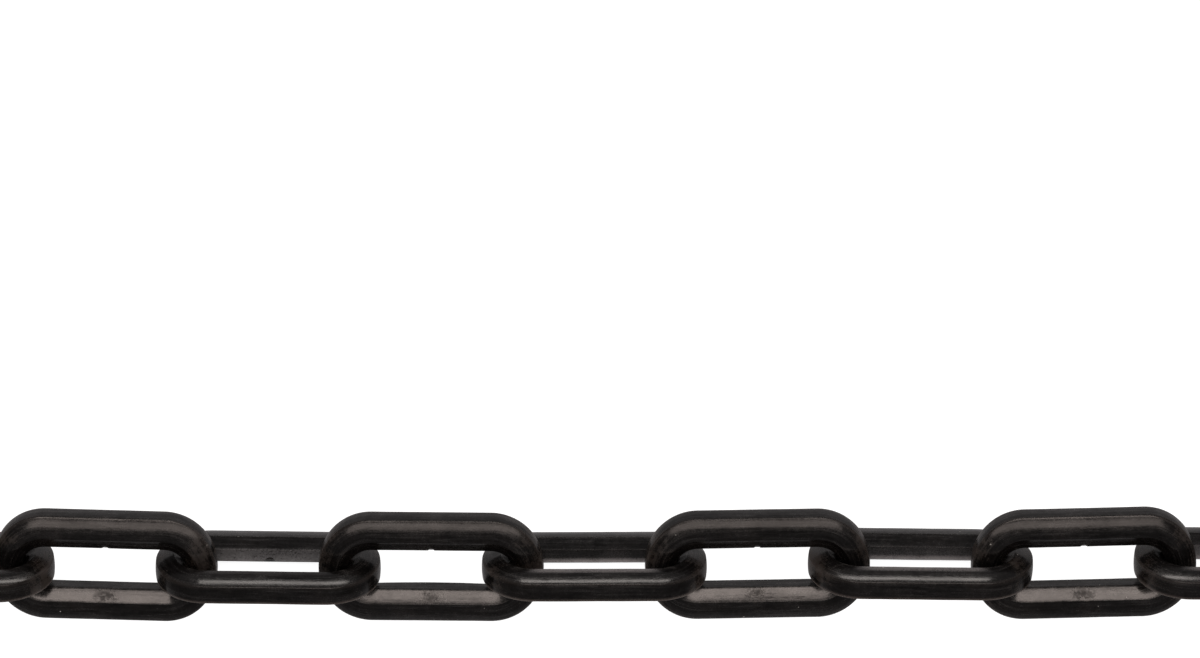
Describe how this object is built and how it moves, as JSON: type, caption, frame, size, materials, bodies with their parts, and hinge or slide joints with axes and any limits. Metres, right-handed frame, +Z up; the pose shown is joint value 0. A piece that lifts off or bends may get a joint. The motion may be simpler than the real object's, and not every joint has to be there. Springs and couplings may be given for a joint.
{
  "type": "plastic chain",
  "caption": "Straight run of black moulded plastic chain: closed oval links with flat inner faces and crowned outer sides, each passing through the next and free to swing.",
  "frame": {"origin": "on the surface that the chain lies on, under the middle of the run", "axes": "+X along the chain from link_01 to link_24, +Z up; links are rolled 45 degrees about X, turned one way and the other in turn"},
  "size_m": [0.9286, 0.0214, 0.0213],
  "materials": {
    "black_plastic": "satin"
  },
  "bodies": {
    "link_01": {"link_01": "black_plastic"},
    "link_02": {"link_02": "black_plastic"},
    "link_03": {"link_03": "black_plastic"},
    "link_04": {"link_04": "black_plastic"},
    "link_05": {"link_05": "black_plastic"},
    "link_06": {"link_06": "black_plastic"},
    "link_07": {"link_07": "black_plastic"},
    "link_08": {"link_08": "black_plastic"},
    "link_09": {"link_09": "black_plastic"},
    "link_10": {"link_10": "black_plastic"},
    "link_11": {"link_11": "black_plastic"},
    "link_12": {"link_12": "black_plastic"},
    "link_13": {"link_13": "black_plastic"},
    "link_14": {"link_14": "black_plastic"},
    "link_15": {"link_15": "black_plastic"},
    "link_16": {"link_16": "black_plastic"},
    "link_17": {"link_17": "black_plastic"},
    "link_18": {"link_18": "black_plastic"},
    "link_19": {"link_19": "black_plastic"},
    "link_20": {"link_20": "black_plastic"},
    "link_21": {"link_21": "black_plastic"},
    "link_22": {"link_22": "black_plastic"},
    "link_23": {"link_23": "black_plastic"},
    "link_24": {"link_24": "black_plastic"}
  },
  "joints": [
    {"name": "swing_02", "type": "hinge", "parent": "link_01", "child": "link_02", "pos_m": [-0.41532, 0, 0.01065], "axis": [0, 0.7071, 0.7071], "range_deg": [-120, 120]},
    {"name": "swing_03", "type": "hinge", "parent": "link_02", "child": "link_03", "pos_m": [-0.37722, 0, 0.01065], "axis": [0, -0.7071, 0.7071], "range_deg": [-120, 120]},
    {"name": "swing_04", "type": "hinge", "parent": "link_03", "child": "link_04", "pos_m": [-0.33913, 0, 0.01065], "axis": [0, -0.7071, -0.7071], "range_deg": [-120, 120]},
    {"name": "swing_05", "type": "hinge", "parent": "link_04", "child": "link_05", "pos_m": [-0.30102, 0, 0.01065], "axis": [0, 0.7071, -0.7071], "range_deg": [-120, 120]},
    {"name": "swing_06", "type": "hinge", "parent": "link_05", "child": "link_06", "pos_m": [-0.26293, 0, 0.01065], "axis": [0, 0.7071, 0.7071], "range_deg": [-120, 120]},
    {"name": "swing_07", "type": "hinge", "parent": "link_06", "child": "link_07", "pos_m": [-0.22482, 0, 0.01065], "axis": [0, -0.7071, 0.7071], "range_deg": [-120, 120]},
    {"name": "swing_08", "type": "hinge", "parent": "link_07", "child": "link_08", "pos_m": [-0.18673, 0, 0.01065], "axis": [0, -0.7071, -0.7071], "range_deg": [-120, 120]},
    {"name": "swing_09", "type": "hinge", "parent": "link_08", "child": "link_09", "pos_m": [-0.14863, 0, 0.01065], "axis": [0, 0.7071, -0.7071], "range_deg": [-120, 120]},
    {"name": "swing_10", "type": "hinge", "parent": "link_09", "child": "link_10", "pos_m": [-0.11052, 0, 0.01065], "axis": [0, 0.7071, 0.7071], "range_deg": [-120, 120]},
    {"name": "swing_11", "type": "hinge", "parent": "link_10", "child": "link_11", "pos_m": [-0.07243, 0, 0.01065], "axis": [0, -0.7071, 0.7071], "range_deg": [-120, 120]},
    {"name": "swing_12", "type": "hinge", "parent": "link_11", "child": "link_12", "pos_m": [-0.03433, 0, 0.01065], "axis": [0, -0.7071, -0.7071], "range_deg": [-120, 120]},
    {"name": "swing_13", "type": "hinge", "parent": "link_12", "child": "link_13", "pos_m": [0.00378, 0, 0.01065], "axis": [0, 0.7071, -0.7071], "range_deg": [-120, 120]},
    {"name": "swing_14", "type": "hinge", "parent": "link_13", "child": "link_14", "pos_m": [0.04188, 0, 0.01065], "axis": [0, 0.7071, 0.7071], "range_deg": [-120, 120]},
    {"name": "swing_15", "type": "hinge", "parent": "link_14", "child": "link_15", "pos_m": [0.07998, 0, 0.01065], "axis": [0, -0.7071, 0.7071], "range_deg": [-120, 120]},
    {"name": "swing_16", "type": "hinge", "parent": "link_15", "child": "link_16", "pos_m": [0.11807, 0, 0.01065], "axis": [0, -0.7071, -0.7071], "range_deg": [-120, 120]},
    {"name": "swing_17", "type": "hinge", "parent": "link_16", "child": "link_17", "pos_m": [0.15618, 0, 0.01065], "axis": [0, 0.7071, -0.7071], "range_deg": [-120, 120]},
    {"name": "swing_18", "type": "hinge", "parent": "link_17", "child": "link_18", "pos_m": [0.19428, 0, 0.01065], "axis": [0, 0.7071, 0.7071], "range_deg": [-120, 120]},
    {"name": "swing_19", "type": "hinge", "parent": "link_18", "child": "link_19", "pos_m": [0.23237, 0, 0.01065], "axis": [0, -0.7071, 0.7071], "range_deg": [-120, 120]},
    {"name": "swing_20", "type": "hinge", "parent": "link_19", "child": "link_20", "pos_m": [0.27048, 0, 0.01065], "axis": [0, -0.7071, -0.7071], "range_deg": [-120, 120]},
    {"name": "swing_21", "type": "hinge", "parent": "link_20", "child": "link_21", "pos_m": [0.30857, 0, 0.01065], "axis": [0, 0.7071, -0.7071], "range_deg": [-120, 120]},
    {"name": "swing_22", "type": "hinge", "parent": "link_21", "child": "link_22", "pos_m": [0.34668, 0, 0.01065], "axis": [0, 0.7071, 0.7071], "range_deg": [-120, 120]},
    {"name": "swing_23", "type": "hinge", "parent": "link_22", "child": "link_23", "pos_m": [0.38477, 0, 0.01065], "axis": [0, -0.7071, 0.7071], "range_deg": [-120, 120]},
    {"name": "swing_24", "type": "hinge", "parent": "link_23", "child": "link_24", "pos_m": [0.42288, 0, 0.01065], "axis": [0, -0.7071, -0.7071], "range_deg": [-120, 120]}
  ]
}
